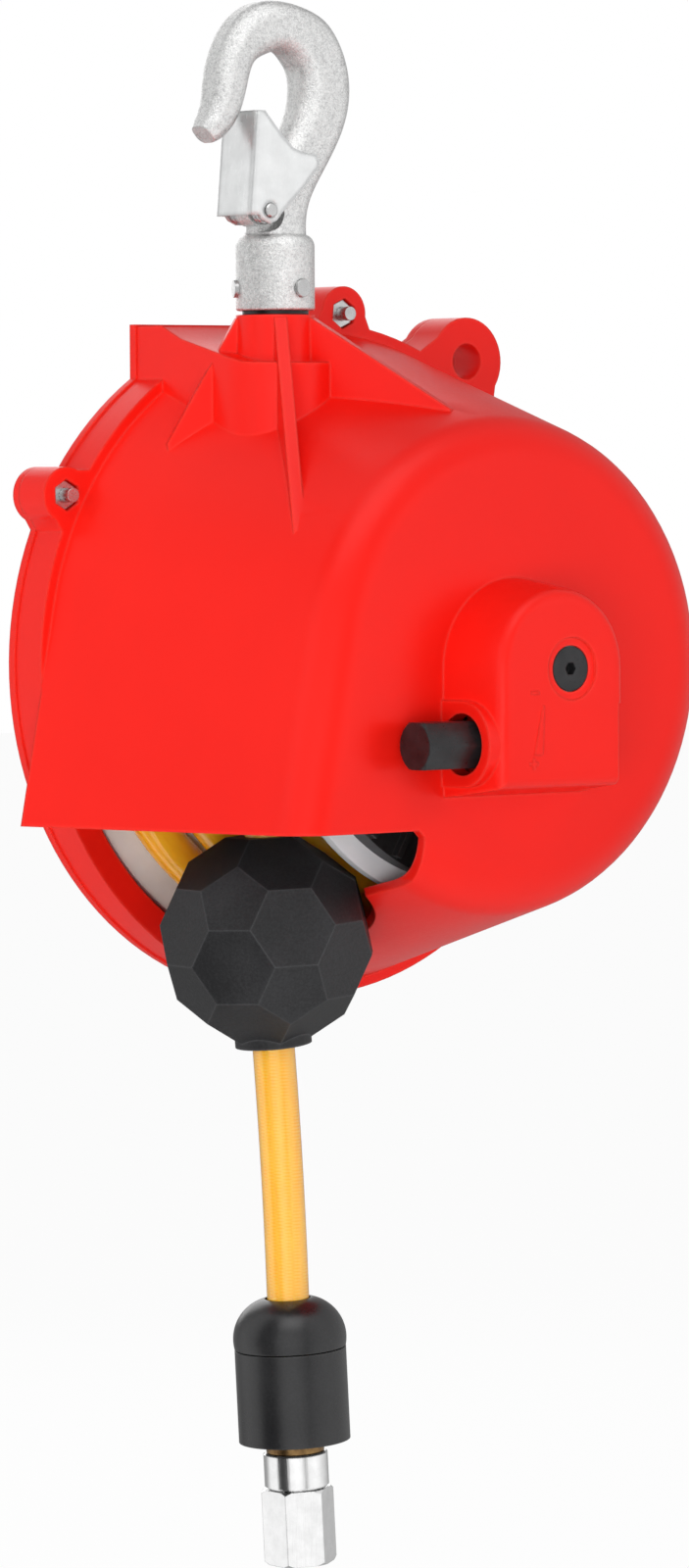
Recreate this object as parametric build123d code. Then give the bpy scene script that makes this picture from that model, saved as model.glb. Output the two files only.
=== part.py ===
from build123d import *
from math import atan2, cos, degrees, pi, radians, sin, sqrt
import os

# Tool balancer with a hose drum. Millimetres, +Z up, -Y is the side with the tension adjuster.
# The origin is the point inside the load hook where the part hangs.

# Driving dimensions

wall = 3.0              # housing wall
barrel_r = 11.2         # barrel of the hook
barrel_high = -51.2     # top of the barrel, below the hanging point
barrel_long = 21.6
neck_r = 11.2
block_r = 17.3          # the block below the neck
bolt_r = 5.0            # swivel bolt
hose_r = 6.0
hose_left = 18.0        # the hanging hose, to the left of the hook line
hose_y_rear = 27.2      # hose line of the last and largest turn
hose_y_front = -17.8    # hose line of the first and smallest turn
hose_rad_rear = 77.4
hose_rad_front = 55.5
drum_turns = 2.958      # turns of hose on the drum
ring_front = 30.5       # front face of the flange ring
joint_y = 42.8          # where the rear cover meets the front housing
face_y = -63.5          # flat front face of the housing
round_y = -49.5         # where the front rounding meets the cone
round_r = 14.0          # front rounding
skirt_angle = 169.0     # where the flat left wall leaves the cone
mouth_drop = 44.5       # underside of the skirt, below the drum axis
lug_r = 8.0
lug_angles = (151.3, 83.8, 18.0, -32.0, -100.0)
eye_angle = 56.7
eye_r = 13.0
eye_hole = 5.25
adjust_r = 25.2         # half width of the adjuster housing at its foot
adjust_deep = 22.0
worm_drop = 20.5        # worm axis below the drum axis
hex_flat = 13.0
ball_r = 30.6
thread_r = 5.72         # thread of the outlet nut
clear = 0.15            # running clearance

# What follows from them

cone_rear = hose_rad_rear + 17.6     # cone radius at ring_front
cone_front = hose_rad_front + 16.1   # cone radius at round_y
ring_r = cone_rear + 3.0             # flange ring, outer radius
ring_bore = cone_rear - 4.8          # flange ring, inner radius
lug_circle = ring_r + 3.0            # circle of the housing screws
eye_circle = ring_r + 5.7
barrel_low = barrel_high - barrel_long
neck_top = barrel_low - 1.2          # top of the neck
drum_x = hose_rad_front - hose_left  # drum axis, to the right of the hook line
drum_z = neck_top - ring_r - 1.0     # drum axis, below the hanging point
mouth_z = drum_z - mouth_drop
ball_z = mouth_z - ball_r - 0.7
worm_y = face_y - 9.0
worm_z = drum_z - worm_drop
adjust_x = drum_x - 3.3
hang_y = hose_y_front                # the hose hangs in this plane

os.makedirs("parts", exist_ok=True)
parts = {}

slope = (cone_rear - cone_front) / (ring_front - round_y)
lean = sqrt(1 + slope * slope)
centre = Vector(drum_x, 0, drum_z)
drum_axis = Axis((drum_x, 0, drum_z), (0, 1, 0))
hose_x = drum_x - hose_rad_front


def cone_at(y):
    return cone_front + (y - round_y) * slope


def disc(x, z, r, y0, y1):
    return Pos(x, (y0 + y1) / 2, z) * Rot(90, 0, 0) * Cylinder(r, abs(y1 - y0))


def tube(x, z, r, bore, y0, y1):
    return disc(x, z, r, y0, y1) - disc(x, z, bore, y0 - 1, y1 + 1)


def pole(x, y, r, z0, z1):
    return Pos(x, y, (z0 + z1) / 2) * Cylinder(r, abs(z1 - z0))


def bar(y, z, r, x0, x1):
    return Pos((x0 + x1) / 2, y, z) * Rot(0, 90, 0) * Cylinder(r, abs(x1 - x0))


def block(x0, x1, y0, y1, z0, z1):
    middle = Pos((x0 + x1) / 2, (y0 + y1) / 2, (z0 + z1) / 2)
    return middle * Box(abs(x1 - x0), abs(y1 - y0), abs(z1 - z0))


def front_sketch(points, y0, y1):
    # a closed outline in x and z, made solid from y0 to y1
    outline = Polyline(*[(x, y0, z) for x, z in points], close=True)
    return extrude(make_face(outline), amount=y1 - y0, dir=(0, 1, 0))


def turned(points):
    # a closed outline in radius and y, turned about the drum axis
    outline = Polyline(*[(drum_x + r, y, drum_z) for r, y in points], close=True)
    return revolve(make_face(outline), axis=drum_axis)


def polar(angle, r):
    a = radians(angle)
    return drum_x + r * cos(a), drum_z + r * sin(a)


def about_drum(angle):
    return Pos(drum_x, 0, drum_z) * Rot(0, -angle, 0)


def facing_front(x, y, z, angle=0.0):
    # drawing plane that looks toward -Y, with its x turned to the angle
    a = radians(angle)
    return Plane(origin=(x, y, z), x_dir=(cos(a), 0, sin(a)), z_dir=(0, -1, 0))


def wound(points, heading, profile):
    # a profile carried from point to point along tangent arcs, each turned about its own axis
    runs = []
    for p, q in zip(points, points[1:]):
        arc = TangentArc(p, q, tangent=heading)
        axis = Axis(arc.arc_center, (p - arc.arc_center).cross(heading))
        swing = degrees(arc.length / arc.radius)
        runs.append(revolve(profile, axis=axis, revolution_arc=swing))
        profile = profile.rotate(axis, swing)
        heading = arc % 1
    return one(runs[0] + runs[1:])


def one(shape):
    # the largest solid of a result
    return max(shape.solids(), key=lambda s: s.volume)


def keep(name, shape):
    parts[name] = shape


# Front housing: cone with a rounded front, flat left wall and an open mouth below


def body_face(inset, y_end):
    # half section of the cone in radius and y, set in by the wall
    step = inset * lean
    y_face = face_y + inset
    r_corner = cone_at(y_face) - step
    outline = Polyline(
        (0, y_face),
        (r_corner, y_face),
        (cone_at(y_end) - step, y_end),
        (0, y_end),
        close=True,
    )
    face = make_face(outline)
    corner = min(face.vertices(), key=lambda v: abs(v.X - r_corner) + abs(v.Y - y_face))
    return fillet(corner, round_r - inset)


def cone_body(inset, y_end):
    face = Location((drum_x, 0, drum_z)) * body_face(inset, y_end)
    return revolve(face, axis=drum_axis)


def skirt_body(inset, y_end, low):
    # the flat left wall: the same section pushed down along the wall, down to the height low
    a = radians(skirt_angle)
    plane = Plane(origin=centre, x_dir=(cos(a), 0, sin(a)), z_dir=(-sin(a), 0, cos(a)))
    face = plane * body_face(inset, y_end)
    pushed = extrude(face, amount=drum_z - low + 60.0, dir=(-sin(a), 0, cos(a)))
    return pushed - block(-150, 150, -150, 150, low - 150, low)


def ring_outline(grow):
    # ring with its lugs, the eye and the square shoulder, as circles and straight links
    flat = Pos(drum_x, drum_z) * Circle(ring_r + grow)
    shoulder = Rectangle(drum_x + block_r + 2 * grow, 37 + 2 * grow)
    flat += Pos((drum_x - block_r) / 2, drum_z + ring_r - 20) * shoulder
    spots = [(angle, lug_circle, lug_r, 4.5) for angle in lug_angles]
    spots.append((eye_angle, eye_circle, eye_r, 5.0))
    for angle, circle, r, flare in spots:
        foot = r + flare
        low, high = ring_r - 12, ring_r - 5
        corners = ((low, -foot), (high, -foot), (circle, -r), (circle, r), (high, foot), (low, foot))
        knob = make_face(Polyline(*corners, close=True)) + Pos(circle, 0) * Circle(r)
        flat += Pos(drum_x, drum_z) * Rot(0, 0, angle) * knob
    return flat


def ring_plate(grow, y0, y1):
    lying = facing_front(0, y0, 0) * ring_outline(grow)
    return extrude(lying, amount=y1 - y0, dir=(0, 1, 0))


def rib(angle, toe_s, drop, thick=3.6, top=neck_top - 0.8):
    # a straight rib from the neck down to the cone, in the direction angle seen from above
    toe_z = neck_top - drop
    low = toe_z - 22
    corners = ((0, 0, top), (neck_r + 0.2, 0, top), (toe_s, 0, toe_z), (toe_s - 3, 0, low), (0, 0, low))
    shape = Polyline(*corners, close=True)
    plate = Pos(0, -thick / 2, 0) * extrude(make_face(shape), amount=thick, dir=(0, 1, 0))
    return Rot(0, 0, angle) * plate


def adjuster_outline(r, drop):
    d = make_face(
        Polyline(
            (adjust_x - r, drum_z),
            (adjust_x - r, drum_z - drop),
            (adjust_x + r, drum_z - drop),
            (adjust_x + r, drum_z),
            close=True,
        )
    )
    return d + Pos(adjust_x, drum_z) * Circle(r)


def adjuster_body(r, drop, y0, deep, taper):
    lying = facing_front(0, y0, 0) * adjuster_outline(r, drop)
    return extrude(lying, amount=deep, taper=taper)


outer = cone_body(0, ring_front) + skirt_body(0, ring_front, mouth_z)
mouth_cut = [(-90, mouth_z), (0.5, mouth_z), (2.5, mouth_z - 2), (2.5, mouth_z - 14)]
mouth_cut += [(-2.5, mouth_z - 22), (-2.5, mouth_z - 90), (-90, mouth_z - 90)]
outer -= front_sketch(mouth_cut, -90, 60)
outer += ring_plate(0, ring_front, joint_y)

tongue = Circle(block_r) + Pos(0, joint_y / 2) * Rectangle(2 * block_r, joint_y)
column = extrude(Pos(0, 0, drum_z + 38) * tongue, amount=ring_r - 38)
roof = Polyline(
    (0, -40, neck_top - 14.4),
    (0, -6, neck_top - 13.2),
    (0, ring_front - 9, drum_z + ring_r - 5.5),
    (0, ring_front + 0.5, drum_z + ring_r - 1.5),
    (0, joint_y + 1, drum_z + ring_r - 1.5),
    (0, joint_y + 1, neck_top + 34),
    (0, -40, neck_top + 34),
    close=True,
)
column -= Pos(-60, 0, 0) * extrude(make_face(roof), amount=120, dir=(1, 0, 0))
outer += column
outer += Pos(0, 0, neck_top - 22) * Cone(neck_r + 1.0, neck_r, 44.0)
outer -= block(-40, 40, -60, ring_front - 2, neck_top, neck_top + 30)
for angle, toe_s, drop in ((240.0, 49.3, 60.2), (-59.6, 53.6, 27.0), (153.1, 31.5, 36.3), (60.0, 17.0, 18.0)):
    outer += rib(angle, toe_s, drop)

foot = adjuster_body(adjust_r, 35.8, face_y + 1.5, adjust_deep + 1.5, 8.0)
rim = foot.edges().filter_by_position(Axis.Y, face_y - adjust_deep - 0.1, face_y - adjust_deep + 0.1)
foot = fillet(rim, 3.0)
foot -= block(adjust_x + 20.2, adjust_x + 40, face_y - 40, face_y - 3.5, drum_z - 60, drum_z - 10)
outer += foot
pad = bar(worm_y, worm_z, 12.0, 8.5, 30)
pad += block(8.5, 30, worm_y, face_y + 1, worm_z - 12, worm_z + 12)
outer += pad

hollow = cone_body(wall, ring_front - wall) + skirt_body(wall, ring_front - wall, mouth_z - 0.5)
shell = outer - hollow
pocket = Pos(hose_x, hang_y, ball_z) * Sphere(ball_r + 0.6)
shell -= pocket + pole(hose_x, hang_y, ball_r + 0.6, ball_z - 60, ball_z)
shell -= disc(drum_x, drum_z, ring_bore, ring_front - wall - 0.5, joint_y + 1)

# gear room behind the adjuster face, with the worm across it
room_front = face_y - adjust_deep + 3.5
room_deep = face_y + wall + 0.5 - room_front
room = adjuster_body(adjust_r - 3.6, 31.0, face_y + wall + 0.5, room_deep, 6.0)
shell -= room
shell -= bar(worm_y, worm_z, 8.6, -10, 13.5)
shell -= bar(worm_y, worm_z, 7.9, 13, 22)
shell -= bar(worm_y, worm_z, 6.0, 40, 80)
mark_y = face_y - adjust_deep
shell -= disc(drum_x, drum_z, 8.7, mark_y - 1, mark_y + 0.9)
shell -= disc(drum_x, drum_z, 6.45, mark_y - 1, room_front + 1)

# swivel bolt bore, screw bores, nut pockets and the eye
shell -= pole(0, 0, bolt_r + 0.2, neck_top - 36, neck_top + 14)
shell -= pole(0, 0, 9.2, neck_top - 38, neck_top - 20.2)
for angle in lug_angles:
    x, z = polar(angle, lug_circle)
    shell -= disc(x, z, 2.2, ring_front - 2, joint_y + 1)
    pocket = facing_front(x, ring_front - 2, z, angle) * RegularPolygon(4.5, 6)
    shell -= extrude(pocket, amount=6.2, dir=(0, 1, 0))
x, z = polar(eye_angle, eye_circle)
shell -= disc(x, z, eye_hole, ring_front - 2, joint_y + 4)

# raised marks of the tension scale
marks = block(22.4, 25.4, mark_y - 0.4, mark_y + 0.3, drum_z - 6.8, drum_z - 5.9)
marks += block(21.8, 25.0, mark_y - 0.4, mark_y + 0.3, drum_z - 26.4, drum_z - 25.5)
marks += block(22.95, 23.85, mark_y - 0.4, mark_y + 0.3, drum_z - 27.5, drum_z - 24.4)
wedge = [(26.6, drum_z - 10), (27.2, drum_z - 10), (26.6, drum_z - 23.5), (23.6, drum_z - 23.5)]
marks += front_sketch(wedge, mark_y - 0.4, mark_y + 0.3)
shell += marks
keep("front_housing", one(shell))

# Rear cover

cover = ring_plate(0.5, joint_y + 0.05, joint_y + 2.75)
dish_r = ring_bore - 12.2
dish = turned([(0, joint_y + 2), (dish_r, joint_y + 2), (dish_r - 6, joint_y + 6.5), (0, joint_y + 6.5)])
dish += disc(drum_x, drum_z, 24, joint_y + 2, joint_y + 10)
for k in range(8):
    dish += about_drum(22.5 + 45 * k) * block(21, dish_r - 3, joint_y + 3.9, joint_y + 7.3, -1.5, 1.5)
cover += dish
cup_r = dish_r - 4
cover -= turned([(18.5, joint_y - 1), (cup_r, joint_y - 1), (cup_r - 4, joint_y + 3.4), (18.5, joint_y + 3.4)])
cover -= disc(drum_x, drum_z, 11.1, joint_y - 2, joint_y + 12)
for angle in lug_angles:
    x, z = polar(angle, lug_circle)
    cover -= disc(x, z, 2.2, joint_y - 1, joint_y + 6)
x, z = polar(eye_angle, eye_circle)
cover -= disc(x, z, eye_hole, joint_y - 1, joint_y + 6)
keep("rear_cover", one(cover))

# Screws and nuts of the housing

screws = []
nuts = []
for angle in lug_angles:
    x, z = polar(angle, lug_circle)
    head = disc(x, z, 3.5, joint_y + 2.75, joint_y + 5.25)
    head -= extrude(facing_front(x, joint_y + 6.0, z) * RegularPolygon(1.5, 6), amount=2.6)
    shank = disc(x, z, 2.0, ring_front - 3.2, joint_y + 2.75)
    screws.append(one(head + shank))
    flat = facing_front(x, ring_front + 1.0, z, angle)
    nut = extrude(flat * RegularPolygon(4.1, 6), amount=3.2, dir=(0, 1, 0))
    nuts.append(one(nut - disc(x, z, 2.02, ring_front - 3, ring_front + 8)))
keep("housing_screws", Compound(children=screws))
keep("housing_nuts", Compound(children=nuts))

# Swivel bolt through the neck, with its washers

pin_height = barrel_low + 6.2
head_z = neck_top - 24.6
bolt = pole(0, 0, bolt_r, head_z - 1.2, barrel_high - 6.2)
bolt += pole(0, 0, 8.6, head_z - 5.0, head_z)
groove_low, groove_high = pin_height - 2.8, pin_height + 2.8
bolt -= pole(0, 0, bolt_r + 4, groove_low, groove_high) - pole(0, 0, bolt_r - 1.6, groove_low, groove_high)
keep("swivel_bolt", one(bolt))
washer = pole(0, 0, 8.8, head_z + 0.05, neck_top - 20.3)
keep("thrust_washer", washer - pole(0, 0, bolt_r + 0.05, head_z - 1, neck_top - 20))
washer = pole(0, 0, 9.4, neck_top, barrel_low) - pole(0, 0, bolt_r + 0.1, neck_top - 1, barrel_low + 1)
keep("neck_washer", washer)

# Load hook: lofted bow on a round barrel

stations = (
    (0.0, barrel_high - 2.8, 90.0, 17.0, 17.0),
    (0.4, -47.0, 86.0, 16.6, 13.5),
    (2.6, -39.0, 67.0, 16.2, 12.9),
    (7.4, -30.5, 54.0, 16.2, 12.9),
    (12.8, -21.5, 64.0, 16.6, 13.4),
    (15.7, -9.5, 90.0, 17.4, 13.8),
    (10.3, 3.2, 137.0, 16.6, 13.8),
    (-2.2, 7.2, 181.0, 14.4, 13.6),
    (-13.2, 1.5, 226.0, 12.4, 13.0),
    (-17.5, -9.5, 264.0, 11.2, 12.2),
    (-19.2, -16.0, 250.0, 10.0, 11.2),
    (-22.0, -20.6, 228.0, 8.8, 10.0),
    (-25.2, -23.8, 222.0, 6.0, 7.4),
)
sections = []
for x, z, heading, deep, wide in stations:
    h = radians(heading)
    plane = Plane(origin=(x, 0, z), x_dir=(sin(h), 0, -cos(h)), z_dir=(cos(h), 0, sin(h)))
    sections.append(plane * RectangleRounded(deep, wide, min(deep, wide) * 0.40))
bow = loft(sections)
barrel = pole(0, 0, barrel_r, barrel_low, barrel_high)
barrel = fillet(barrel.edges().filter_by_position(Axis.Z, barrel_high - 0.1, barrel_high + 0.1), 3.6)
barrel = fillet(barrel.edges().filter_by_position(Axis.Z, barrel_low - 0.1, barrel_low + 0.1), 0.8)
pin_x = -7.6
pin_z = -44.8
lug = disc(pin_x, pin_z, 4.4, -2.8, 2.8) + block(pin_x, 2, -2.8, 2.8, pin_z - 4.4, pin_z + 4.0)
hook = bow + barrel + lug
for side in (-1, 1):
    hook -= disc(pin_x, pin_z, 6.0, side * 2.8, side * 9)
hook -= pole(0, 0, bolt_r + clear, barrel_low - 7.2, barrel_high - 5.8)
hook -= disc(pin_x, pin_z, 2.1, -12, 12)
pin_angles = (275.0, 155.0, 35.0)
pins = []
for angle in pin_angles:
    turned_to = Rot(0, 0, angle)
    hook -= turned_to * bar(0, pin_height, 2.55, 4.0, 15.0)
    pins.append(one(turned_to * bar(0, pin_height, 2.5, 4.0, 12.1)))
keep("load_hook", one(hook))
keep("swivel_pins", Compound(children=pins))

# Latch: folded plate with two cheeks, its pin and its spring

cheek = [(-12.4, -16.9), (-9.4, -16.9), (-3.4, -23.5), (0.6, -27.2), (4.4, -28.4)]
cheek += [(8.6, -28.9), (9.9, -30.6), (9.4, -32.6), (4.3, -38.2), (-3.4, -45.3)]
cheek += [(-5.4, -47.6), (-7.8, -48.6), (-10.6, -47.4), (-11.6, -46.2), (-14.9, -46.2)]
plate = 1.2
gap = 6.95
latch = front_sketch(cheek, -gap - plate, gap + plate)
inner = [(-11.15, -10), (20, -10), (20, -60), (-14.6, -60), (-13.68, -46.2)]
latch -= front_sketch(inner, -gap, gap)
long_edges = latch.edges().filter_by(lambda e: e.length > 28)
fold = long_edges.filter_by(lambda e: abs(e.center().Y) > gap + 1 and e.center().X < -12)
latch = fillet(fold, 1.1)
latch -= disc(pin_x, pin_z, 2.15, -12, 12)
keep("hook_latch", one(latch))
rivet = disc(pin_x, pin_z, 2.0, -9.0, 9.0)
rivet = chamfer(rivet.edges().filter_by(GeomType.CIRCLE), 0.35)
keep("latch_pin", one(rivet))
coil_r = 3.3
coil_pitch = 1.28
springs = []
for start_y in (3.85, -6.2):
    turns = []
    for k in range(12):
        a = radians(60 * k)
        turns.append(Vector(pin_x + coil_r * cos(a), start_y + coil_pitch * k / 6, pin_z + coil_r * sin(a)))
    rise = Vector(0, coil_pitch / 6, coil_r * radians(60)).normalized()
    springs.append(wound(turns, rise, Plane(origin=turns[0], z_dir=rise) * RegularPolygon(0.58, 6)))
keep("latch_spring", Compound(children=springs))

# Worm wheel, arbor and worm

wheel = disc(drum_x, drum_z, 12.6, worm_y - 4.5, worm_y + 4.5)
for k in range(24):
    tooth = make_face(Polyline((12.2, -1.15), (15.0, -0.6), (15.0, 0.6), (12.2, 1.15), close=True))
    wheel += extrude(facing_front(drum_x, worm_y - 4.5, drum_z, 15 * k) * tooth, amount=9, dir=(0, 1, 0))
deep_r, edge_r = worm_drop - 7.6, worm_drop - 6.1
throat = [(deep_r, -1.2), (deep_r, 1.2), (edge_r, 4.6), (16, 4.6), (16, -4.6), (edge_r, -4.6)]
wheel -= turned([(r, worm_y + y) for r, y in throat])
wheel -= disc(drum_x, drum_z, 8.0, worm_y - 9, worm_y + 9)
keep("worm_wheel", one(wheel))

screw_face = face_y - adjust_deep + 0.9


def screw_body(more):
    head = 6.2 + more
    stem = 2.5 + more
    return turned(
        [
            (0, screw_face - more),
            (head, screw_face - more),
            (head, screw_face + 0.6),
            (stem, screw_face + 3.2 + more),
            (stem, room_front + 14 + more),
            (0, room_front + 14 + more),
        ]
    )


arbor = disc(drum_x, drum_z, 8.0, room_front + 0.4, 14.0) + disc(drum_x, drum_z, 6.0, 13.5, 21.2)
arbor += disc(drum_x, drum_z, 6.32, screw_face + 0.5, room_front + 0.5)
arbor -= screw_body(0.01)
keep("spring_arbor", one(arbor))
key = extrude(facing_front(drum_x, screw_face + 2.6, drum_z) * RegularPolygon(1.9, 6), amount=4.0)
keep("arbor_screw", one(screw_body(0) - key))

worm = bar(worm_y, worm_z, 4.8, 20, 54)
worm += bar(worm_y, worm_z, 6.4, 10, 21)
worm += bar(worm_y, worm_z, 4.5, 53, 60.5)
hexagon = Plane(origin=(-8.2, worm_y, worm_z), x_dir=(0, 1, 0), z_dir=(1, 0, 0))
nose = extrude(hexagon * RegularPolygon(hex_flat / 2, 6, major_radius=False), amount=19.5)
round_off = bar(worm_y, worm_z, 7.35, -8.3, 11.3)
round_off = chamfer(round_off.edges().filter_by(GeomType.CIRCLE), 0.9)
worm += nose & round_off
thread_pitch = 3.7
track = []
for k in range(22):
    a = radians(60 * k)
    x = adjust_x + 3.3 + thread_pitch * (k / 6 - 1.75)
    track.append(Vector(x, worm_y + 5.7 * cos(a), worm_z + 5.7 * sin(a)))
rise = Vector(thread_pitch / 6, 0, 5.7 * radians(60)).normalized()
tooth = make_face(Polyline((-1.3, -1.15), (1.5, -0.5), (1.5, 0.5), (-1.3, 1.15), close=True))
worm += wound(track, rise, Plane(origin=track[0], x_dir=(0, 1, 0), z_dir=rise) * tooth)
keep("worm_screw", one(worm))
keep("worm_bush", one(bar(worm_y, worm_z, 7.85, 13.6, 20.4) - bar(worm_y, worm_z, 6.45, 10, 30)))
tail = bar(worm_y, worm_z, 5.95, 54.6, 60.0) - bar(worm_y, worm_z, 4.55, 50, 70)
keep("worm_tail_bush", one(tail))
plate_y = face_y + wall
gear_plate = block(drum_x - 22, drum_x + 22, plate_y, plate_y + 2.5, drum_z - 30, drum_z + 22)
gear_plate -= disc(drum_x, drum_z, 8.2, face_y, face_y + 9)
keep("gear_plate", one(gear_plate))

# Drum, spring case and mainspring

core_slope = (hose_rad_rear - hose_rad_front) / (hose_y_rear - hose_y_front)
seat = (hose_r + 0.08) * sqrt(1 + core_slope * core_slope)
core_front = hose_rad_front - seat
core_rear = hose_rad_rear - seat
web_y = 33.4
end_r = core_rear + (web_y - hose_y_rear) * core_slope
skin = 3.2


def inside_at(y):
    return core_front - skin + (y - hose_y_front) * core_slope


profile = [
    (15.0, 12.0),
    (inside_at(12.0), 12.0),
    (inside_at(hose_y_front), hose_y_front),
    (inside_at(hose_y_front), -38.0),
    (hose_rad_front + 2 * hose_r, -38.0),
    (hose_rad_front + 2 * hose_r, -34.6),
    (core_front, -34.6),
    (core_front, hose_y_front),
    (core_rear, hose_y_rear),
    (end_r, web_y),
    (ring_bore - 2.2, web_y),
    (ring_bore - 2.2, web_y + 3.4),
    (inside_at(web_y + 3.4), web_y + 3.4),
    (inside_at(15.0), 15.0),
    (15.0, 15.0),
]
drum = turned(profile)
drum += tube(drum_x, drum_z, 16.0, 11.35, 12.0, 37.0)
for k in range(6):
    drum += about_drum(30 + 60 * k) * block(15.5, inside_at(15.0) + 1, 14, 20, -1.2, 1.2)
link_angle = (180.0 - 360.0 * drum_turns) % 360.0
tip_x, tip_z = polar(link_angle, 1.0)
radial = (tip_x - drum_x, 0, tip_z - drum_z)


def spoke_rod(r, from_r, to_r, y):
    base = Plane(origin=(drum_x + radial[0] * from_r, y, drum_z + radial[2] * from_r), z_dir=radial)
    return extrude(base * Circle(r), amount=to_r - from_r)


drum -= spoke_rod(3.05, 10, hose_rad_rear, hose_y_rear - 3.0)
keep("drum", one(drum))

air_pipe = spoke_rod(3.0, 11.8, hose_rad_rear - seat - 1.4, hose_y_rear - 3.0)
air_pipe -= spoke_rod(2.0, 5, hose_rad_rear, hose_y_rear - 3.0)
keep("air_pipe", one(air_pipe))

case_r = core_front - skin - 1.54
disc_r = hose_rad_front + hose_r
cup = [(11.2, -44.0), (disc_r, -44.0), (disc_r, -38.0), (case_r, -38.0)]
cup += [(case_r, 10.0), (case_r - 1.8, 10.0), (case_r - 1.8, -38.0), (11.2, -38.0)]
case = turned(cup)
for k in range(36):
    case += about_drum(10 * k) * block(case_r + 4.5, disc_r - 0.5, -46.4, -43.5, -0.9, 0.9)
case += tube(drum_x, drum_z, case_r + 5.5, case_r + 3.0, -46.4, -43.5)
keep("spring_case", one(case))
keep("front_bush", one(tube(drum_x, drum_z, 11.15, 8.05, -44.0, -36.0)))

turns = 7
inner_r = 9.0
outer_r = case_r - 2.8
steps = turns * 20
strip = 0.9
near = []
far = []
for k in range(steps + 1):
    a = 2 * pi * k / 20
    r = inner_r + (outer_r - inner_r) * k / steps
    near.append((drum_x + r * cos(a), -33.0, drum_z + r * sin(a)))
    far.append((drum_x + (r + strip) * cos(a), -33.0, drum_z + (r + strip) * sin(a)))
ribbon = make_face(Polyline(*near, *reversed(far), close=True))
keep("mainspring", one(extrude(ribbon, amount=38, dir=(0, 1, 0))))

# Hose on the drum: a conical spiral that ends where the hose hangs straight down


def on_spiral(turn):
    share = turn / drum_turns
    x, z = polar(180 - 360 * turn, hose_rad_front + (hose_rad_rear - hose_rad_front) * share)
    return Vector(x, hose_y_front + (hose_y_rear - hose_y_front) * share, z)


arcs = 18
winding = [on_spiral(drum_turns * k / arcs) for k in range(arcs + 1)]
upward = (on_spiral(0.0001) - on_spiral(0)).normalized()
coil = wound(winding, upward, Plane(origin=winding[0], z_dir=upward) * RegularPolygon(hose_r, 12))
keep("hose_coils", coil)

# Air inlet at the rear, with seals and nut

inlet = disc(drum_x, drum_z, 11.1, 16.0, joint_y + 14.0)
inlet += disc(drum_x, drum_z, 15.5, 38.4, joint_y)
inlet -= disc(drum_x, drum_z, 6.1, 15, 21.4)
inlet -= disc(drum_x, drum_z, 3.5, 22.6, 60)
inlet -= disc(drum_x, drum_z, 5.8, joint_y + 1, joint_y + 15)
inlet -= spoke_rod(2.2, 0, 14, hose_y_rear - 3.0)
for y in (20.4, 28.4):
    inlet -= tube(drum_x, drum_z, 12, 9.3, y - 1.2, y + 1.2)
keep("air_inlet", one(inlet))
seals = [one(tube(drum_x, drum_z, 11.3, 9.3, y - 1.0, y + 1.0)) for y in (20.4, 28.4)]
keep("inlet_seals", Compound(children=seals))
lying = facing_front(drum_x, joint_y + 10.0, drum_z) * RegularPolygon(16, 6)
inlet_nut = extrude(lying, amount=3.6, dir=(0, 1, 0)) - disc(drum_x, drum_z, 11.12, 40, 70)
keep("inlet_nut", one(inlet_nut))

# Guide inside the skirt that stops the ball

guide = block(-59, hose_x - 6.8, hang_y - 26, hang_y + 18, mouth_z + 1.6, mouth_z + 6.5)
guide = guide & skirt_body(wall, ring_front - wall, mouth_z)
keep("hose_guide", one(guide))

# Hanging end: run of hose, stopper ball, tail, bell and coupling

top_z = drum_z - 0.5
run_low = ball_z + 4.0
keep("hose_run", pole(hose_x, hang_y, hose_r, run_low, top_z))

golden = (1 + sqrt(5)) / 2
ball_corners = []
for a, b, c in ((0, 1, 3 * golden), (1, 2 + golden, 2 * golden), (golden, 2, 2 * golden + 1)):
    for sa in ((1, -1) if a else (1,)):
        for sb in (1, -1):
            for sc in (1, -1):
                p = (sa * a, sb * b, sc * c)
                ball_corners += [p, (p[1], p[2], p[0]), (p[2], p[0], p[1])]
size = sqrt(9 * golden + 10)
ball_corners = [Vector(*p) / size for p in ball_corners]


def facet_plane(origin, five, six):
    # plane whose normal is a pentagon's and whose x runs toward the next hexagon
    n = five.normalized()
    return Plane(origin=origin, x_dir=six - n * six.dot(n), z_dir=n)


as_built = facet_plane((0, 0, 0), Vector(0, 1, golden), Vector(golden, 0, 1 + 2 * golden))
five_way = Vector(-0.307, -0.834, -0.459)
six_way = Vector(-0.366, -0.919, 0.149)
as_hung = facet_plane((hose_x, hang_y, ball_z), five_way, six_way)
ball = ConvexPolyhedron([p * ball_r for p in ball_corners])
ball = as_hung.location * as_built.location.inverse() * ball.clean()
tail_points = [
    (hose_x + 0.1, hang_y, ball_z - 8.0),
    (hose_x + 2.6, hang_y, ball_z - 33.0),
    (hose_x + 5.6, hang_y, ball_z - 73.2),
    (hose_x + 7.3, hang_y, ball_z - 111.2),
    (hose_x + 8.6, hang_y, ball_z - 135.2),
]
first = (Vector(*tail_points[1]) - Vector(*tail_points[0])).normalized()
collar_plane = Plane(origin=tail_points[0], z_dir=first)
collar = extrude(collar_plane * Circle(10.8), amount=22.1)
ball = ball + collar
ball -= pole(hose_x, hang_y, hose_r + 0.1, ball_z - 8, ball_z + 40)
ball -= extrude(collar_plane * Circle(hose_r + 0.1), amount=40)
keep("stopper_ball", one(ball))


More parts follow.
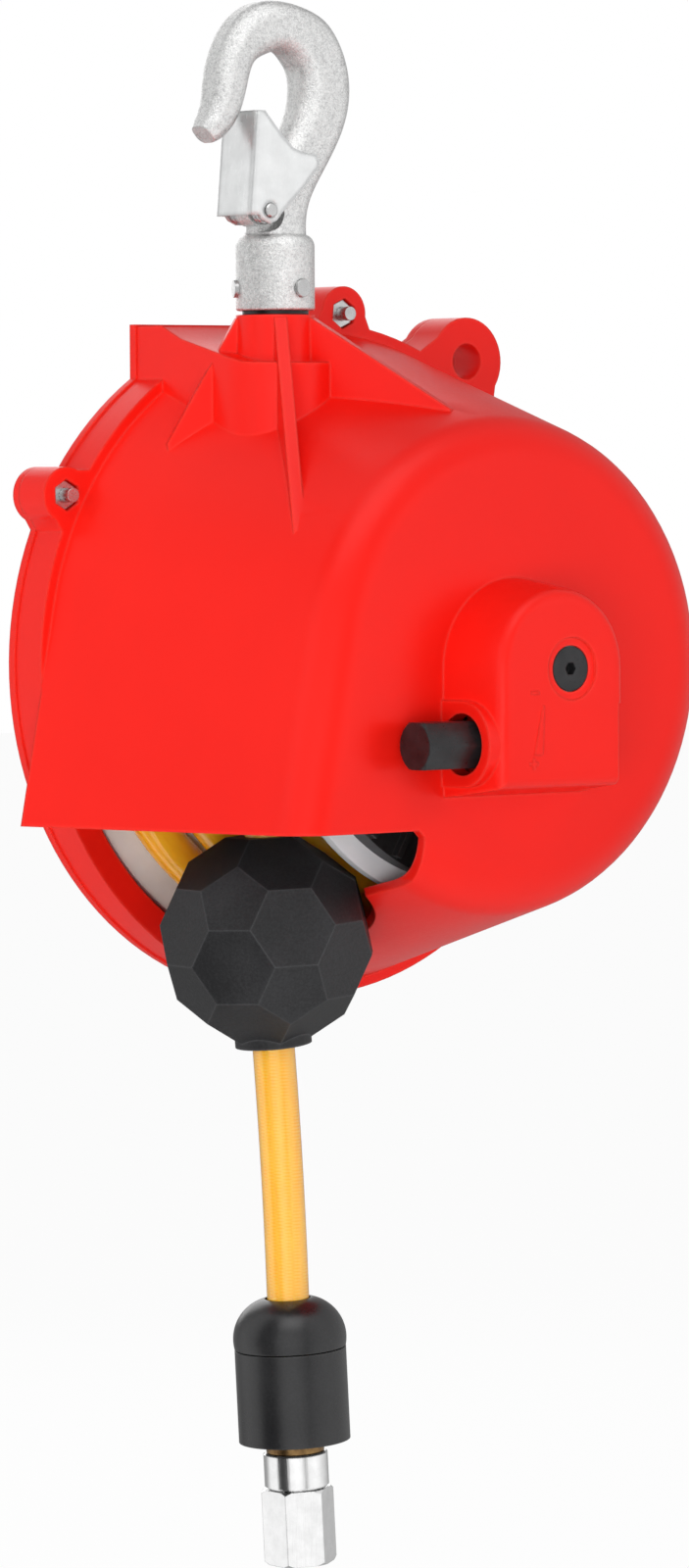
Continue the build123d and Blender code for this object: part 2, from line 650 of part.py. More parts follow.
def blends(points, share=0.45):
    # arc radius at every inner corner of the route
    out = []
    for p, q, s in zip(points, points[1:], points[2:]):
        a = Vector(*q) - Vector(*p)
        b = Vector(*s) - Vector(*q)
        turn = radians(a.get_angle(b))
        out.append(share * min(a.length, b.length) / tan_half(turn))
    return out


def tan_half(turn):
    return sin(turn / 2) / cos(turn / 2)


radii = blends(tail_points)
print("tail arc radii", [round(r, 1) for r in radii])
path = []
previous = Vector(*tail_points[0])
for i in range(1, len(tail_points) - 1):
    p, q, s = (Vector(*tail_points[j]) for j in (i - 1, i, i + 1))
    turn = radians((q - p).get_angle(s - q))
    back = radii[i - 1] * tan_half(turn)
    enter = q - (q - p).normalized() * back
    leave = q + (s - q).normalized() * back
    bisect = ((p - q).normalized() + (s - q).normalized()).normalized()
    mid = q + bisect * (radii[i - 1] / cos(turn / 2) - radii[i - 1])
    path.append(Line(previous, enter))
    path.append(ThreePointArc(enter, mid, leave))
    previous = leave
path.append(Line(previous, Vector(*tail_points[-1])))
tail_path = Wire(path)
tail_start = Plane(origin=tail_points[0], z_dir=first)
keep("hose_tail", one(sweep(tail_start * Circle(hose_r), path=tail_path)))

# the bell and the coupling share the tilted axis of the tail's last run
down = (Vector(*tail_points[-1]) - Vector(*tail_points[-2])).normalized()
bell_top = ball_z - 102.2
hang_top = Vector(*tail_points[-1]) - down * ((tail_points[-1][2] - bell_top) / down.Z)
bell_plane = Plane(origin=hang_top, x_dir=(0, 1, 0), z_dir=down)


def along(r, a, b):
    return extrude(bell_plane.offset(a) * Circle(r), amount=b - a)


def along_turned(outline):
    # a closed outline in radius and distance, turned about the hanging axis
    face = bell_plane.location * Rot(90, 0, 0) * make_face(outline)
    return revolve(face, axis=Axis(hang_top, down))


bell_r = 15.75
seam = 13.6
dome = ThreePointArc((bell_r, seam), (bell_r * cos(radians(40)), seam - 17.4 * sin(radians(40))), (6.5, -0.3))
under = Polyline((6.5, -0.3), (6.5, 6.5), (bell_r - 3.2, seam - 6), (bell_r - 2.4, seam), (bell_r, seam))
keep("bell_cap", one(along_turned(dome + under)))
sleeve_low = seam + 26.6
skirt = Polyline(
    (bell_r, seam + 0.35),
    (bell_r, sleeve_low),
    (8.4, sleeve_low),
    (8.4, sleeve_low - 4),
    (bell_r - 2.6, sleeve_low - 6),
    (bell_r - 2.6, seam + 0.35),
    close=True,
)
keep("bell_sleeve", one(along_turned(skirt)))
ferrule = along(8.2, 20.0, seam + 29.75) - along(hose_r + 0.05, 10, 33.5) - along(4.05, 30, 60)
keep("crimp_ferrule", one(ferrule))
barb = along(4.0, 33.2, seam + 31.2) - along(2.6, 13, 80)
low = seam + 30.45
body = along(9.1, seam + 29.85, low + 9.5)
body = chamfer(body.edges().filter_by(GeomType.CIRCLE), 0.5)
body += along(6.3, low + 9, low + 15)
body += along(7.4, low + 12, low + 15)
body -= along(2.6, 13, 90)
keep("coupling_body", one(body + barb))
nut_plane = Plane(origin=hang_top + down * (low + 9.75), x_dir=(0, 1, 0), z_dir=down)
nut = extrude(nut_plane * RegularPolygon(9.0, 6, major_radius=False, rotation=-3), amount=21.35)
trim = along(10.35, low + 9.75, low + 31.1)
trim = chamfer(trim.edges().filter_by(GeomType.CIRCLE), 0.9)
nut = nut & trim
nut -= along(6.45, low, low + 12)
nut -= along(7.55, low + 11.9, low + 15.15)
nut -= along(thread_r, low + 14, low + 40)
keep("coupling_nut", one(nut))

for name, shape in parts.items():
    export_step(shape, "parts/" + name + ".step")
print(len(parts), "parts written")
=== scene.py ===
import math

import bmesh
import bpy
from mathutils import Matrix, Vector


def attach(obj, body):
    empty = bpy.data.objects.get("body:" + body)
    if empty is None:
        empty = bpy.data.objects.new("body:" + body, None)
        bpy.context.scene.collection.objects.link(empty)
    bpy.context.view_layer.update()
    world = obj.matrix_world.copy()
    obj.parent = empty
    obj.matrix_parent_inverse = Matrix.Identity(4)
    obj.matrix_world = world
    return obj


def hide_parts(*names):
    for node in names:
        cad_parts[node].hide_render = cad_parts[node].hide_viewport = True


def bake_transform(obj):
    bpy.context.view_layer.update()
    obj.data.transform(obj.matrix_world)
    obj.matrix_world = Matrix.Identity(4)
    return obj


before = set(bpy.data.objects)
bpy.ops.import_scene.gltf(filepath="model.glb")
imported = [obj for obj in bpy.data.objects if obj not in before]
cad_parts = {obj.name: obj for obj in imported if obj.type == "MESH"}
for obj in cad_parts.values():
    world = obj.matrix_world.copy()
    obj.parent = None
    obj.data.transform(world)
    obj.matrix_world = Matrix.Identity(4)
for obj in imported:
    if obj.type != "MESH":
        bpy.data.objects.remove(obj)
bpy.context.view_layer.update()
print("frame loaded:", len(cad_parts), "nodes")

# camera at the photograph's angle, matched to the drum's rings and the hook

cameraView = {
    "place": (-1.10531, -1.44537, -0.11157),
    "right": (0.78783, -0.61587, -0.00523),
    "up": (0.03635, 0.03802, 0.99862),
    "lens": 147.3,
    "sensor": 36.0,
}


def makeCamera(look):
    data = bpy.data.cameras.new("photoCamera")
    data.lens = look["lens"]
    data.sensor_width = look["sensor"]
    data.clip_start, data.clip_end = 0.05, 50
    cam = bpy.data.objects.new("photoCamera", data)
    bpy.context.scene.collection.objects.link(cam)
    right, up = Vector(look["right"]).normalized(), Vector(look["up"]).normalized()
    back = right.cross(up).normalized()
    turn = Matrix((right, up, back)).transposed().to_4x4()
    cam.matrix_world = Matrix.Translation(look["place"]) @ turn
    bpy.context.scene.camera = cam
    return cam


makeCamera(cameraView)

# the hose that hangs between ball and bell: same route points as the solid's, in metres

hoseLook = {
    "radius": 0.006,
    "route": [
        (-0.0179, -0.0178, -0.2568),
        (-0.0154, -0.0178, -0.2818),
        (-0.0124, -0.0178, -0.3220),
        (-0.0107, -0.0178, -0.3600),
        (-0.0094, -0.0178, -0.3840),
    ],
    "exit": (-0.0154, -0.0178, -0.2835),
    "length": 0.1276,
}


def linkObject(name, data):
    obj = bpy.data.objects.new(name, data)
    bpy.context.scene.collection.objects.link(obj)
    return obj


def makeHoseTail(look):
    curve = bpy.data.curves.new("hangingHose", "CURVE")
    curve.dimensions = "3D"
    spline = curve.splines.new("NURBS")
    spline.points.add(len(look["route"]) - 1)
    for point, place in zip(spline.points, look["route"]):
        point.co = (*place, 1.0)
    spline.order_u = 3
    spline.use_endpoint_u = True
    spline.resolution_u = 24
    curve.bevel_depth = look["radius"]
    curve.bevel_resolution = 10
    curve.use_fill_caps = True
    return linkObject("hangingHose", curve)


hangingHose = makeHoseTail(hoseLook)
print("camera and hanging hose made")

# small helpers for node materials


def newMaterial(name):
    mat = bpy.data.materials.new(name)
    mat.use_nodes = True
    tree = mat.node_tree
    return mat, tree, tree.nodes["Principled BSDF"]


def addNode(tree, kind, **sockets):
    node = tree.nodes.new(kind)
    for name, value in sockets.items():
        node.inputs[name.replace("_", " ")].default_value = value
    return node


def objectPoint(tree, centre=(0, 0, 0), turn=(0, 0, 0), size=(1, 1, 1)):
    coords = tree.nodes.new("ShaderNodeTexCoord")
    place = tree.nodes.new("ShaderNodeMapping")
    place.inputs["Location"].default_value = centre
    place.inputs["Rotation"].default_value = turn
    place.inputs["Scale"].default_value = size
    tree.links.new(coords.outputs["Object"], place.inputs["Vector"])
    return place.outputs["Vector"]


def noiseOn(tree, point, scale, detail=4.0, rough=0.5):
    noise = addNode(tree, "ShaderNodeTexNoise", Scale=scale, Detail=detail, Roughness=rough)
    tree.links.new(point, noise.inputs["Vector"])
    return noise.outputs["Fac"]


def rampOn(tree, value, stops):
    ramp = tree.nodes.new("ShaderNodeValToRGB")
    band = ramp.color_ramp
    band.elements[0].position, band.elements[0].color = stops[0][0], (*stops[0][1], 1)
    band.elements[1].position, band.elements[1].color = stops[-1][0], (*stops[-1][1], 1)
    for place, colour in stops[1:-1]:
        band.elements.new(place).color = (*colour, 1)
    tree.links.new(value, ramp.inputs["Fac"])
    return ramp.outputs["Color"]


def rangeOn(tree, value, low, high, start=0.0, end=1.0):
    node = addNode(tree, "ShaderNodeMapRange")
    node.inputs["From Min"].default_value = start
    node.inputs["From Max"].default_value = end
    node.inputs["To Min"].default_value = low
    node.inputs["To Max"].default_value = high
    tree.links.new(value, node.inputs["Value"])
    return node.outputs["Result"]


def mathOn(tree, what, a, b=None):
    node = tree.nodes.new("ShaderNodeMath")
    node.operation = what
    for socket, value in zip(node.inputs, (a, b)):
        if value is None:
            continue
        if isinstance(value, (int, float)):
            socket.default_value = value
        else:
            tree.links.new(value, socket)
    return node.outputs["Value"]


def mixOn(tree, fac, a, b):
    node = tree.nodes.new("ShaderNodeMix")
    node.data_type = "RGBA"
    for socket, value in ((node.inputs["Factor"], fac), (node.inputs[6], a), (node.inputs[7], b)):
        if isinstance(value, (int, float)):
            socket.default_value = value
        elif isinstance(value, tuple):
            socket.default_value = (*value, 1)
        else:
            tree.links.new(value, socket)
    return node.outputs[2]


def highlightAndScuffEdge(tree, radius, reach):
    # 0 on flats, 1 where an edge within the radius turns the surface; it drives the painted edge highlights, and on
    # rubber the scuffs too
    soft = addNode(tree, "ShaderNodeBevel", Radius=radius)
    soft.samples = 6
    flat = tree.nodes.new("ShaderNodeNewGeometry")
    dot = tree.nodes.new("ShaderNodeVectorMath")
    dot.operation = "DOT_PRODUCT"
    tree.links.new(soft.outputs["Normal"], dot.inputs[0])
    tree.links.new(flat.outputs["Normal"], dot.inputs[1])
    return rangeOn(tree, dot.outputs["Value"], 1.0, 0.0, 1.0 - reach, 1.0)


def bumpOn(tree, bsdf, height, strength, distance, edge=0.0):
    bump = addNode(tree, "ShaderNodeBump", Strength=strength, Distance=distance)
    tree.links.new(height, bump.inputs["Height"])
    if edge:  # rounds hard edges by the radius in metres
        soft = addNode(tree, "ShaderNodeBevel", Radius=edge)
        soft.samples = 4
        tree.links.new(soft.outputs["Normal"], bump.inputs["Normal"])
    tree.links.new(bump.outputs["Normal"], bsdf.inputs["Normal"])


def paintedShell(name, look):
    mat, tree, bsdf = newMaterial(name)
    point = objectPoint(tree)
    cloud = noiseOn(tree, point, look["cloudScale"], 3.0)
    fine = noiseOn(tree, point, look["peelScale"], 2.0)
    grit = noiseOn(tree, point, look["gritScale"], 6.0, 0.7)
    paint = rampOn(tree, cloud, [(0.3, look["dark"]), (0.7, look["light"])])
    # edges are mixed toward a lighter red: a painted edge highlight
    edge = mathOn(tree, "MULTIPLY", highlightAndScuffEdge(tree, look["edge"] * 2, 0.2), look["highlightAndScuffTint"])
    tree.links.new(mixOn(tree, edge, paint, look["paintedEdgeHighlight"]), bsdf.inputs["Base Color"])
    tree.links.new(rangeOn(tree, grit, *look["rough"], 0.35, 0.65), bsdf.inputs["Roughness"])
    bsdf.inputs["Coat Weight"].default_value = look["coat"]
    bsdf.inputs["Coat Roughness"].default_value = look["coatRough"]
    bsdf.inputs["Specular IOR Level"].default_value = look["specular"]
    bumpOn(tree, bsdf, fine, look["peel"], 0.0004, look["edge"])
    return mat


def metalSkin(name, look):
    mat, tree, bsdf = newMaterial(name)
    point = objectPoint(tree, size=look["grain"])
    stain = noiseOn(tree, objectPoint(tree), look["stainScale"], 5.0, 0.6)
    grain = noiseOn(tree, point, look["grainScale"], 4.0, 0.6)
    bsdf.inputs["Metallic"].default_value = look["metal"]
    tree.links.new(rampOn(tree, stain, [(0.32, look["dark"]), (0.68, look["light"])]), bsdf.inputs["Base Color"])
    tree.links.new(rangeOn(tree, grain, *look["rough"], 0.3, 0.7), bsdf.inputs["Roughness"])
    bumpOn(tree, bsdf, grain, look["bump"], 0.0003, look["edge"])
    return mat


def forgedSkin(name, look):
    # mottled galvanised forging: spangled patches, pits and a dull bloom
    mat, tree, bsdf = newMaterial(name)
    point = objectPoint(tree)
    patch = addNode(tree, "ShaderNodeTexVoronoi", Scale=look["patchScale"], Randomness=1.0)
    warp = noiseOn(tree, point, look["stainScale"], 6.0, 0.65)
    pits = noiseOn(tree, point, look["pitScale"], 5.0, 0.7)
    tree.links.new(point, patch.inputs["Vector"])
    both = mathOn(tree, "ADD", mathOn(tree, "MULTIPLY", patch.outputs["Color"], 0.4), mathOn(tree, "MULTIPLY", warp, 0.8))
    tree.links.new(rampOn(tree, both, [(0.35, look["dark"]), (0.6, look["mid"]), (0.82, look["light"])]), bsdf.inputs["Base Color"])
    bsdf.inputs["Metallic"].default_value = look["metal"]
    tree.links.new(rangeOn(tree, pits, *look["rough"], 0.3, 0.7), bsdf.inputs["Roughness"])
    bumpOn(tree, bsdf, mathOn(tree, "ADD", pits, mathOn(tree, "MULTIPLY", warp, 0.8)), look["bump"], 0.0006, look["edge"])
    return mat


def rubberSkin(name, look):
    mat, tree, bsdf = newMaterial(name)
    point = objectPoint(tree)
    dust = noiseOn(tree, point, look["dustScale"], 8.0, 0.75)
    worn = noiseOn(tree, point, look["wornScale"], 3.0, 0.5)
    tone = mathOn(tree, "ADD", mathOn(tree, "MULTIPLY", dust, 0.6), mathOn(tree, "MULTIPLY", worn, 0.4))
    skin = rampOn(tree, tone, [(0.42, look["dark"]), (0.62, look["light"])])
    # edges are mixed toward a lighter grey: partly scuff, partly painted edge highlight
    edge = mathOn(tree, "MULTIPLY", highlightAndScuffEdge(tree, look["edge"] * 1.5, 0.12), look["highlightAndScuffTint"])
    tree.links.new(mixOn(tree, edge, skin, look["scuffAndEdgeHighlight"]), bsdf.inputs["Base Color"])
    tree.links.new(rangeOn(tree, worn, *look["rough"], 0.3, 0.7), bsdf.inputs["Roughness"])
    bsdf.inputs["Specular IOR Level"].default_value = look["specular"]
    bumpOn(tree, bsdf, dust, look["bump"], 0.0002, look["edge"])
    return mat


def hoseSkin(name, look, axis):
    # translucent wall over a crossed braid that winds round the given axis
    mat, tree, bsdf = newMaterial(name)
    point = objectPoint(tree, centre=axis["centre"], turn=axis["turn"])
    parts = tree.nodes.new("ShaderNodeSeparateXYZ")
    tree.links.new(point, parts.inputs["Vector"])
    angle = mathOn(tree, "ARCTAN2", parts.outputs["Y"], parts.outputs["X"])
    along = mathOn(tree, "MULTIPLY", parts.outputs["Z"], look["lay"])
    around = mathOn(tree, "MULTIPLY", angle, look["strands"])
    left = mathOn(tree, "SINE", mathOn(tree, "ADD", around, along))
    right = mathOn(tree, "SINE", mathOn(tree, "SUBTRACT", around, along))
    braid = mathOn(tree, "MAXIMUM", mathOn(tree, "POWER", mathOn(tree, "ABSOLUTE", left), 3.0),
                   mathOn(tree, "POWER", mathOn(tree, "ABSOLUTE", right), 3.0))
    cloud = noiseOn(tree, objectPoint(tree), 60.0, 2.0)
    base = mixOn(tree, cloud, look["deep"], look["warm"])
    tree.links.new(mixOn(tree, mathOn(tree, "MULTIPLY", braid, look["show"]), base, look["thread"]), bsdf.inputs["Base Color"])
    bsdf.inputs["Roughness"].default_value = look["rough"]
    bsdf.inputs["Subsurface Weight"].default_value = look["glow"]
    bsdf.inputs["Subsurface Radius"].default_value = (1.0, 0.4, 0.05)
    bsdf.inputs["Subsurface Scale"].default_value = 0.003
    bsdf.inputs["Coat Weight"].default_value = look["coat"]
    bsdf.inputs["Coat Roughness"].default_value = 0.08
    bumpOn(tree, bsdf, braid, look["bump"], 0.0001)
    return mat


# the lighter red mixed onto the edges is a painted edge highlight
paintLook = {
    "dark": (0.80, 0.008, 0.004), "light": (0.90, 0.012, 0.006), "paintedEdgeHighlight": (0.95, 0.045, 0.028), "highlightAndScuffTint": 0.6,
    "cloudScale": 9.0, "rough": (0.30, 0.36), "gritScale": 900.0, "peelScale": 420.0, "peel": 0.05,
    "coat": 0.0, "coatRough": 0.16, "specular": 0.22, "edge": 0.0009,
}
forgedLook = {
    "dark": (0.58, 0.58, 0.58), "mid": (0.82, 0.82, 0.815), "light": (0.95, 0.95, 0.94),
    "patchScale": 2600.0, "stainScale": 700.0, "pitScale": 2600.0, "metal": 0.92,
    "rough": (0.22, 0.38), "bump": 0.45, "edge": 0.0006,
}
zincLook = {
    "dark": (0.80, 0.81, 0.81), "light": (0.90, 0.91, 0.91), "stainScale": 160.0, "metal": 1.0,
    "grain": (1, 1, 0.12), "grainScale": 1400.0, "rough": (0.26, 0.38), "bump": 0.08, "edge": 0.0022,
}
steelLook = {
    "dark": (0.48, 0.48, 0.48), "light": (0.66, 0.66, 0.66), "stainScale": 120.0, "metal": 1.0,
    "grain": (1, 1, 1), "grainScale": 1500.0, "rough": (0.22, 0.38), "bump": 0.08, "edge": 0.0003,
}
blackSteelLook = {
    "dark": (0.012, 0.012, 0.013), "light": (0.026, 0.026, 0.028), "stainScale": 150.0, "metal": 0.35,
    "grain": (1, 1, 1), "grainScale": 1200.0, "rough": (0.26, 0.40), "bump": 0.10, "edge": 0.0005,
}
bronzeLook = {
    "dark": (0.45, 0.29, 0.12), "light": (0.62, 0.43, 0.20), "stainScale": 110.0, "metal": 1.0,
    "grain": (1, 1, 1), "grainScale": 1300.0, "rough": (0.28, 0.42), "bump": 0.08, "edge": 0.0003,
}
ferruleLook = {
    "dark": (0.16, 0.09, 0.04), "light": (0.36, 0.22, 0.09), "stainScale": 400.0, "metal": 1.0,
    "grain": (1, 1, 4), "grainScale": 900.0, "rough": (0.25, 0.42), "bump": 0.12, "edge": 0.0002,
}
chromeLook = {
    "dark": (0.86, 0.86, 0.86), "light": (0.97, 0.97, 0.97), "stainScale": 260.0, "metal": 1.0,
    "grain": (1, 1, 0.04), "grainScale": 2600.0, "rough": (0.08, 0.16), "bump": 0.08, "edge": 0.0004,
}
drumLook = {
    "dark": (0.74, 0.75, 0.77), "light": (0.86, 0.87, 0.89), "stainScale": 40.0, "metal": 0.0,
    "grain": (1, 1, 1), "grainScale": 700.0, "rough": (0.35, 0.5), "bump": 0.08, "edge": 0.0005,
}
# the lighter grey at the edges of the rubber and plastic is partly scuff, partly painted edge highlight
ballLook = {
    "dark": (0.008, 0.008, 0.009), "light": (0.024, 0.024, 0.026), "scuffAndEdgeHighlight": (0.10, 0.10, 0.105), "highlightAndScuffTint": 0.6,
    "dustScale": 1300.0, "wornScale": 45.0, "rough": (0.46, 0.60), "specular": 0.4, "bump": 0.35, "edge": 0.0007,
}
bellLook = {
    "dark": (0.008, 0.008, 0.009), "light": (0.018, 0.018, 0.019), "scuffAndEdgeHighlight": (0.06, 0.06, 0.06), "highlightAndScuffTint": 0.4,
    "dustScale": 1500.0, "wornScale": 50.0, "rough": (0.26, 0.34), "specular": 0.55, "bump": 0.10, "edge": 0.0005,
}
plasticLook = {
    "dark": (0.010, 0.010, 0.010), "light": (0.022, 0.022, 0.022), "scuffAndEdgeHighlight": (0.05, 0.05, 0.05), "highlightAndScuffTint": 0.4,
    "dustScale": 900.0, "wornScale": 60.0, "rough": (0.32, 0.45), "specular": 0.5, "bump": 0.08, "edge": 0.0004,
}
orangeLook = {
    "deep": (1.0, 0.39, 0.010), "warm": (1.0, 0.50, 0.025), "thread": (1.0, 0.62, 0.12), "show": 0.5,
    "strands": 14.0, "lay": 3300.0, "rough": 0.20, "glow": 0.3, "coat": 0.8, "bump": 0.10,
}

tailAxis = {"centre": (0.0, 0.0178, 0.0), "turn": (0, 0, 0)}
drumAxis = {"centre": (-0.0375, 0.173, 0.0), "turn": (math.radians(90), 0, 0)}

finishes = {
    "redPaint": paintedShell("redPaint", paintLook),
    "galvanisedForging": forgedSkin("galvanisedForging", forgedLook),
    "brightZinc": metalSkin("brightZinc", zincLook),
    "plainSteel": metalSkin("plainSteel", steelLook),
    "blackSteel": metalSkin("blackSteel", blackSteelLook),
    "bronzeMetal": metalSkin("bronzeMetal", bronzeLook),
    "ferruleMetal": metalSkin("ferruleMetal", ferruleLook),
    "chromeMetal": metalSkin("chromeMetal", chromeLook),
    "greyDrum": metalSkin("greyDrum", drumLook),
    "ballRubber": rubberSkin("ballRubber", ballLook),
    "bellRubber": rubberSkin("bellRubber", bellLook),
    "blackPlastic": rubberSkin("blackPlastic", plasticLook),
    "orangeTail": hoseSkin("orangeTail", orangeLook, tailAxis),
    "orangeCoil": hoseSkin("orangeCoil", {**orangeLook, "show": 0.0}, drumAxis),
}
print("finishes made:", len(finishes))

# every solid of the frame keeps its mesh and gets a finish, welded and with crisp edges

nodeFinish = {
    "front_housing": ("redPaint", 32), "rear_cover": ("redPaint", 32), "load_hook": ("galvanisedForging", 50),
    "swivel_pins": ("plainSteel", 35), "hook_latch": ("brightZinc", 30), "latch_pin": ("plainSteel", 35),
    "latch_spring": ("plainSteel", 60), "swivel_bolt": ("plainSteel", 35), "thrust_washer": ("plainSteel", 35),
    "neck_washer": ("blackSteel", 35), "housing_screws": ("plainSteel", 35), "housing_nuts": ("plainSteel", 35),
    "arbor_screw": ("blackSteel", 35), "worm_screw": ("blackSteel", 35), "worm_bush": ("bronzeMetal", 35),
    "worm_tail_bush": ("bronzeMetal", 35), "worm_wheel": ("bronzeMetal", 35), "front_bush": ("bronzeMetal", 35),
    "spring_arbor": ("plainSteel", 35), "gear_plate": ("plainSteel", 35), "air_pipe": ("plainSteel", 35),
    "mainspring": ("plainSteel", 35), "air_inlet": ("chromeMetal", 35), "inlet_nut": ("chromeMetal", 35),
    "inlet_seals": ("blackPlastic", 40), "drum": ("greyDrum", 32), "spring_case": ("blackPlastic", 35),
    "hose_guide": ("blackPlastic", 35), "hose_coils": ("orangeCoil", 60), "hose_run": ("orangeTail", 50),
    "hose_tail": ("orangeTail", 50), "stopper_ball": ("ballRubber", 12), "bell_cap": ("bellRubber", 40),
    "bell_sleeve": ("bellRubber", 40), "crimp_ferrule": ("ferruleMetal", 35), "coupling_body": ("chromeMetal", 35),
    "coupling_nut": ("chromeMetal", 28),
}


def dressNode(name, finish, edgeAngle):
    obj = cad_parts[name]
    obj.data.materials.clear()
    obj.data.materials.append(finishes[finish])
    for face in obj.data.polygons:
        face.use_smooth = True
        face.material_index = 0
    weld = obj.modifiers.new("weld", "WELD")
    weld.merge_threshold = 0.000002
    split = obj.modifiers.new("crispEdges", "EDGE_SPLIT")
    split.split_angle = math.radians(edgeAngle)


for nodeName, (finish, edgeAngle) in nodeFinish.items():
    dressNode(nodeName, finish, edgeAngle)
print("nodes dressed:", len(nodeFinish))

# the hanging hose is the cord, the bell and the coupling are on it

hangingHose.data.materials.append(finishes["orangeTail"])
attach(hangingHose, "hose_end")
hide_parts("hose_tail")


# the paid-out hose between drum and ball: a dense tube

runLook = {"radius": 0.006, "bore": 0.004, "top": -0.1735, "low": -0.2448, "x": -0.018, "y": -0.0178, "rings": 60, "sides": 40}


def finishMesh(bm, name, finish):
    bmesh.ops.remove_doubles(bm, verts=bm.verts, dist=0.000002)
    bmesh.ops.recalc_face_normals(bm, faces=bm.faces)
    mesh = bpy.data.meshes.new(name)
    bm.to_mesh(mesh)
    bm.free()
    for face in mesh.polygons:
        face.use_smooth = True
    mesh.materials.append(finishes[finish])
    obj = linkObject(name, mesh)
    return obj


def makeHoseRun(look):
    bm = bmesh.new()
    ring = bmesh.ops.create_circle(bm, segments=look["sides"], radius=look["radius"])["verts"]
    bmesh.ops.translate(bm, verts=ring, vec=(look["x"], look["y"], look["top"]))
    edges = list({e for v in ring for e in v.link_edges})
    step = (look["low"] - look["top"]) / look["rings"]
    for _ in range(look["rings"]):
        made = bmesh.ops.extrude_edge_only(bm, edges=edges)["geom"]
        verts = [g for g in made if isinstance(g, bmesh.types.BMVert)]
        edges = [g for g in made if isinstance(g, bmesh.types.BMEdge) and all(v in verts for v in g.verts)]
        bmesh.ops.translate(bm, verts=verts, vec=(0, 0, step))
    return finishMesh(bm, "paidOutHose", "orangeTail")


paidOutHose = makeHoseRun(runLook)
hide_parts("hose_run")
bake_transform(paidOutHose)
print("hoses done")

# pale floor, backdrop and soft studio light

stageLook = {"floorZ": -0.62, "size": 8.0, "tone": 0.93, "lift": 0.94}


def makeStage(look):
    bm = bmesh.new()
    bmesh.ops.create_grid(bm, x_segments=1, y_segments=1, size=look["size"])
    bmesh.ops.translate(bm, verts=bm.verts, vec=(0, 0, look["floorZ"]))
    mesh = bpy.data.meshes.new("paleFloor")
    bm.to_mesh(mesh)
    bm.free()
    floor = linkObject("paleFloor", mesh)
    mat, tree, bsdf = newMaterial("paleFloor")
    bsdf.inputs["Base Color"].default_value = (look["tone"], look["tone"], look["tone"], 1)
    bsdf.inputs["Roughness"].default_value = 0.9
    bsdf.inputs["Specular IOR Level"].default_value = 0.1
    seen = tree.nodes.new("ShaderNodeLightPath")
    glow = addNode(tree, "ShaderNodeEmission", Color=(1, 1, 1, 1), Strength=1.0)
    mix = tree.nodes.new("ShaderNodeMixShader")
    tree.links.new(mathOn(tree, "MULTIPLY", seen.outputs["Is Camera Ray"], look["lift"]), mix.inputs["Fac"])
    tree.links.new(bsdf.outputs["BSDF"], mix.inputs[1])
    tree.links.new(glow.outputs["Emission"], mix.inputs[2])
    clear = tree.nodes.new("ShaderNodeBsdfTransparent")
    whole = tree.nodes.new("ShaderNodeMixShader")
    tree.links.new(seen.outputs["Is Glossy Ray"], whole.inputs["Fac"])
    tree.links.new(mix.outputs["Shader"], whole.inputs[1])
    tree.links.new(clear.outputs["BSDF"], whole.inputs[2])
    tree.links.new(whole.outputs["Shader"], tree.nodes["Material Output"].inputs["Surface"])
    mesh.materials.append(mat)
    return floor


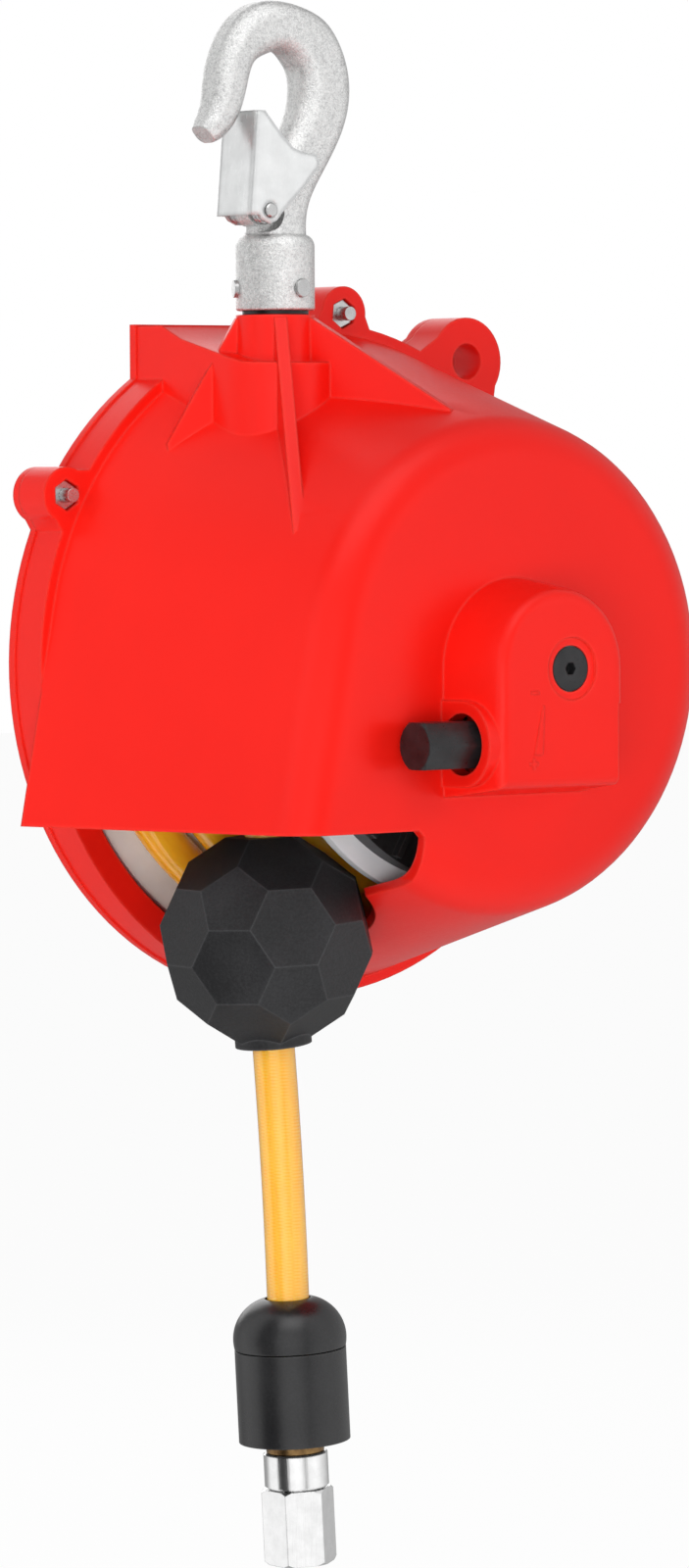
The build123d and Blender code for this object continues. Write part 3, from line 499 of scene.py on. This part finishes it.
def makeWorld(plain, white, bands):
    # white for the camera, and a ring of soft boxes and dark flags for reflections
    world = bpy.data.worlds.new("studioWorld")
    world.use_nodes = True
    bpy.context.scene.world = world
    tree = world.node_tree
    back = tree.nodes["Background"]
    back.inputs["Color"].default_value = (1, 1, 1, 1)
    seen = tree.nodes.new("ShaderNodeLightPath")
    clear = mathOn(tree, "MAXIMUM", seen.outputs["Is Camera Ray"], seen.outputs["Is Transmission Ray"])
    coords = tree.nodes.new("ShaderNodeTexCoord")
    way = tree.nodes.new("ShaderNodeSeparateXYZ")
    tree.links.new(coords.outputs["Generated"], way.inputs["Vector"])
    round_ = mathOn(tree, "ARCTAN2", way.outputs["Y"], way.outputs["X"])
    turn = rangeOn(tree, round_, 0.0, 1.0, -math.pi, math.pi)
    boxes = rampOn(tree, turn, [((a + 180) / 360, (v, v, v)) for a, v in bands])
    glossy = mathOn(tree, "MULTIPLY", boxes, seen.outputs["Is Glossy Ray"])
    dull = mathOn(tree, "MULTIPLY", plain, mathOn(tree, "SUBTRACT", 1.0, seen.outputs["Is Glossy Ray"]))
    light = mathOn(tree, "MAXIMUM", mathOn(tree, "ADD", glossy, dull), mathOn(tree, "MULTIPLY", clear, white))
    tree.links.new(light, back.inputs["Strength"])


# brightness by bearing in degrees
reflected = [(-180, 0.05), (-160, 0.08), (-150, 1.0), (-122, 1.15), (-104, 1.0), (-92, 0.4), (-82, 0.95),
             (-50, 1.05), (-20, 0.8), (30, 0.35), (100, 0.35), (125, 0.95), (158, 1.0), (168, 0.1), (180, 0.05)]

lamps = {
    "topSoft": {"place": (-0.5, -0.7, 1.3), "aim": (0.02, 0.0, -0.16), "size": 1.4, "power": 8.0, "mirrored": True},
    "leftSoft": {"place": (-1.7, -0.2, 0.25), "aim": (0.0, 0.0, -0.18), "size": 1.1, "power": 6.0, "mirrored": False},
    "rightSoft": {"place": (0.9, -1.6, 0.15), "aim": (0.03, 0.0, -0.18), "size": 1.0, "power": 6.0, "mirrored": False},
    "lowSoft": {"place": (-1.0, -1.15, -0.55), "aim": (0.0, 0.0, -0.22), "size": 0.9, "power": 15.0, "mirrored": False},
    "rearSoft": {"place": (0.6, 1.5, 0.4), "aim": (0.0, 0.0, -0.15), "size": 1.2, "power": 6.0, "mirrored": True},
}


def makeLamps(table):
    for name, look in table.items():
        data = bpy.data.lights.new(name, "AREA")
        data.shape, data.size, data.energy = "SQUARE", look["size"], look["power"]
        lamp = linkObject(name, data)
        lamp.location = look["place"]
        lamp.visible_glossy = look["mirrored"]
        way = Vector(look["aim"]) - Vector(look["place"])
        lamp.rotation_euler = way.to_track_quat("-Z", "Y").to_euler()


makeStage(stageLook)
makeWorld(0.42, 1.0, reflected)
makeLamps(lamps)
bpy.context.scene.view_settings.view_transform = "Standard"
print("stage and light set")
